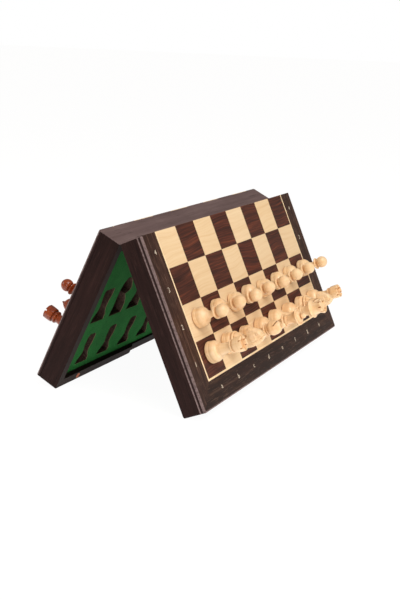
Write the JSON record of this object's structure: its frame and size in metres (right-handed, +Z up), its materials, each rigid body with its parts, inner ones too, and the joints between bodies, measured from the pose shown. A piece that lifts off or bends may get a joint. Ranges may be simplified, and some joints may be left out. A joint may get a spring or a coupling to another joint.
{
  "type": "folding magnetic chess set",
  "caption": "Folding magnetic chess box opened as a tent, with inlaid board faces, green-lined trays and a full set of turned wooden pieces in their starting places.",
  "frame": {"origin": "on the table under the hinge line, midway between the two halves and midway along the hinge", "axes": "+Z up; +Y along the hinge from the a file to the h file; +X towards the half that carries the light pieces"},
  "size_m": [0.2828, 0.358, 0.173],
  "materials": {
    "wenge_walls": "satin, fine dark grain",
    "wenge_edging": "satin, fine dark grain",
    "wenge_deck": "satin, fine dark grain",
    "steel": "plain",
    "light_veneer": "satin maple",
    "dark_veneer": "satin rosewood",
    "stringing": "satin maple",
    "border_veneer": "satin, open pores",
    "tray_wood": "matte",
    "green_felt": "matte felt",
    "magnet": "plain",
    "hinge_brass": "satin",
    "light_piece_wood": "satin hornbeam",
    "dark_piece_wood": "gloss mahogany"
  },
  "bodies": {
    "white_half": {"white_frame_walls": "wenge_walls", "white_fold_edging": "wenge_edging", "white_deck_panel": "wenge_deck", "white_steel_sheet": "steel", "white_light_squares": "light_veneer", "white_dark_squares": "dark_veneer", "white_stringing": "stringing", "white_border_veneers": "border_veneer", "white_tray_block": "tray_wood", "white_tray_felt": "green_felt", "white_catch_magnets": "magnet", "white_hinge_screws": "hinge_brass", "white_hinge_leaves": "hinge_brass", "hinge_pins": "hinge_brass"},
    "black_half": {"black_frame_walls": "wenge_walls", "black_fold_edging": "wenge_edging", "black_deck_panel": "wenge_deck", "black_steel_sheet": "steel", "black_light_squares": "light_veneer", "black_dark_squares": "dark_veneer", "black_stringing": "stringing", "black_border_veneers": "border_veneer", "black_tray_block": "tray_wood", "black_tray_felt": "green_felt", "black_catch_magnets": "magnet", "black_hinge_screws": "hinge_brass", "black_hinge_leaves": "hinge_brass"},
    "white_rook_a": {"white_rook_a": "light_piece_wood"},
    "white_pawn_a": {"white_pawn_a": "light_piece_wood"},
    "white_knight_b": {"white_knight_b": "light_piece_wood"},
    "white_pawn_b": {"white_pawn_b": "light_piece_wood"},
    "white_bishop_c": {"white_bishop_c": "light_piece_wood"},
    "white_pawn_c": {"white_pawn_c": "light_piece_wood"},
    "white_queen": {"white_queen": "light_piece_wood"},
    "white_pawn_d": {"white_pawn_d": "light_piece_wood"},
    "white_king": {"white_king": "light_piece_wood"},
    "white_pawn_e": {"white_pawn_e": "light_piece_wood"},
    "white_bishop_f": {"white_bishop_f": "light_piece_wood"},
    "white_pawn_f": {"white_pawn_f": "light_piece_wood"},
    "white_knight_g": {"white_knight_g": "light_piece_wood"},
    "white_pawn_g": {"white_pawn_g": "light_piece_wood"},
    "white_rook_h": {"white_rook_h": "light_piece_wood"},
    "white_pawn_h": {"white_pawn_h": "light_piece_wood"},
    "black_rook_a": {"black_rook_a": "dark_piece_wood"},
    "black_pawn_a": {"black_pawn_a": "dark_piece_wood"},
    "black_knight_b": {"black_knight_b": "dark_piece_wood"},
    "black_pawn_b": {"black_pawn_b": "dark_piece_wood"},
    "black_bishop_c": {"black_bishop_c": "dark_piece_wood"},
    "black_pawn_c": {"black_pawn_c": "dark_piece_wood"},
    "black_queen": {"black_queen": "dark_piece_wood"},
    "black_pawn_d": {"black_pawn_d": "dark_piece_wood"},
    "black_king": {"black_king": "dark_piece_wood"},
    "black_pawn_e": {"black_pawn_e": "dark_piece_wood"},
    "black_bishop_f": {"black_bishop_f": "dark_piece_wood"},
    "black_pawn_f": {"black_pawn_f": "dark_piece_wood"},
    "black_knight_g": {"black_knight_g": "dark_piece_wood"},
    "black_pawn_g": {"black_pawn_g": "dark_piece_wood"},
    "black_rook_h": {"black_rook_h": "dark_piece_wood"},
    "black_pawn_h": {"black_pawn_h": "dark_piece_wood"}
  },
  "joints": [
    {"name": "fold", "type": "hinge", "parent": "white_half", "child": "black_half", "pos_m": [0, 0, 0.16211], "axis": [0, 1, 0], "range_deg": [-49.8, 130.2]},
    {"name": "lift_white_rook_a", "type": "slide", "parent": "white_half", "child": "white_rook_a", "axis": [0.907, 0, 0.421], "range_m": [0, 0.08]},
    {"name": "lift_white_pawn_a", "type": "slide", "parent": "white_half", "child": "white_pawn_a", "axis": [0.907, 0, 0.421], "range_m": [0, 0.08]},
    {"name": "lift_white_knight_b", "type": "slide", "parent": "white_half", "child": "white_knight_b", "axis": [0.907, 0, 0.421], "range_m": [0, 0.08]},
    {"name": "lift_white_pawn_b", "type": "slide", "parent": "white_half", "child": "white_pawn_b", "axis": [0.907, 0, 0.421], "range_m": [0, 0.08]},
    {"name": "lift_white_bishop_c", "type": "slide", "parent": "white_half", "child": "white_bishop_c", "axis": [0.907, 0, 0.421], "range_m": [0, 0.08]},
    {"name": "lift_white_pawn_c", "type": "slide", "parent": "white_half", "child": "white_pawn_c", "axis": [0.907, 0, 0.421], "range_m": [0, 0.08]},
    {"name": "lift_white_queen", "type": "slide", "parent": "white_half", "child": "white_queen", "axis": [0.907, 0, 0.421], "range_m": [0, 0.08]},
    {"name": "lift_white_pawn_d", "type": "slide", "parent": "white_half", "child": "white_pawn_d", "axis": [0.907, 0, 0.421], "range_m": [0, 0.08]},
    {"name": "lift_white_king", "type": "slide", "parent": "white_half", "child": "white_king", "axis": [0.907, 0, 0.421], "range_m": [0, 0.08]},
    {"name": "lift_white_pawn_e", "type": "slide", "parent": "white_half", "child": "white_pawn_e", "axis": [0.907, 0, 0.421], "range_m": [0, 0.08]},
    {"name": "lift_white_bishop_f", "type": "slide", "parent": "white_half", "child": "white_bishop_f", "axis": [0.907, 0, 0.421], "range_m": [0, 0.08]},
    {"name": "lift_white_pawn_f", "type": "slide", "parent": "white_half", "child": "white_pawn_f", "axis": [0.907, 0, 0.421], "range_m": [0, 0.08]},
    {"name": "lift_white_knight_g", "type": "slide", "parent": "white_half", "child": "white_knight_g", "axis": [0.907, 0, 0.421], "range_m": [0, 0.08]},
    {"name": "lift_white_pawn_g", "type": "slide", "parent": "white_half", "child": "white_pawn_g", "axis": [0.907, 0, 0.421], "range_m": [0, 0.08]},
    {"name": "lift_white_rook_h", "type": "slide", "parent": "white_half", "child": "white_rook_h", "axis": [0.907, 0, 0.421], "range_m": [0, 0.08]},
    {"name": "lift_white_pawn_h", "type": "slide", "parent": "white_half", "child": "white_pawn_h", "axis": [0.907, 0, 0.421], "range_m": [0, 0.08]},
    {"name": "lift_black_rook_a", "type": "slide", "parent": "black_half", "child": "black_rook_a", "axis": [-0.907, 0, 0.421], "range_m": [0, 0.08]},
    {"name": "lift_black_pawn_a", "type": "slide", "parent": "black_half", "child": "black_pawn_a", "axis": [-0.907, 0, 0.421], "range_m": [0, 0.08]},
    {"name": "lift_black_knight_b", "type": "slide", "parent": "black_half", "child": "black_knight_b", "axis": [-0.907, 0, 0.421], "range_m": [0, 0.08]},
    {"name": "lift_black_pawn_b", "type": "slide", "parent": "black_half", "child": "black_pawn_b", "axis": [-0.907, 0, 0.421], "range_m": [0, 0.08]},
    {"name": "lift_black_bishop_c", "type": "slide", "parent": "black_half", "child": "black_bishop_c", "axis": [-0.907, 0, 0.421], "range_m": [0, 0.08]},
    {"name": "lift_black_pawn_c", "type": "slide", "parent": "black_half", "child": "black_pawn_c", "axis": [-0.907, 0, 0.421], "range_m": [0, 0.08]},
    {"name": "lift_black_queen", "type": "slide", "parent": "black_half", "child": "black_queen", "axis": [-0.907, 0, 0.421], "range_m": [0, 0.08]},
    {"name": "lift_black_pawn_d", "type": "slide", "parent": "black_half", "child": "black_pawn_d", "axis": [-0.907, 0, 0.421], "range_m": [0, 0.08]},
    {"name": "lift_black_king", "type": "slide", "parent": "black_half", "child": "black_king", "axis": [-0.907, 0, 0.421], "range_m": [0, 0.08]},
    {"name": "lift_black_pawn_e", "type": "slide", "parent": "black_half", "child": "black_pawn_e", "axis": [-0.907, 0, 0.421], "range_m": [0, 0.08]},
    {"name": "lift_black_bishop_f", "type": "slide", "parent": "black_half", "child": "black_bishop_f", "axis": [-0.907, 0, 0.421], "range_m": [0, 0.08]},
    {"name": "lift_black_pawn_f", "type": "slide", "parent": "black_half", "child": "black_pawn_f", "axis": [-0.907, 0, 0.421], "range_m": [0, 0.08]},
    {"name": "lift_black_knight_g", "type": "slide", "parent": "black_half", "child": "black_knight_g", "axis": [-0.907, 0, 0.421], "range_m": [0, 0.08]},
    {"name": "lift_black_pawn_g", "type": "slide", "parent": "black_half", "child": "black_pawn_g", "axis": [-0.907, 0, 0.421], "range_m": [0, 0.08]},
    {"name": "lift_black_rook_h", "type": "slide", "parent": "black_half", "child": "black_rook_h", "axis": [-0.907, 0, 0.421], "range_m": [0, 0.08]},
    {"name": "lift_black_pawn_h", "type": "slide", "parent": "black_half", "child": "black_pawn_h", "axis": [-0.907, 0, 0.421], "range_m": [0, 0.08]}
  ]
}
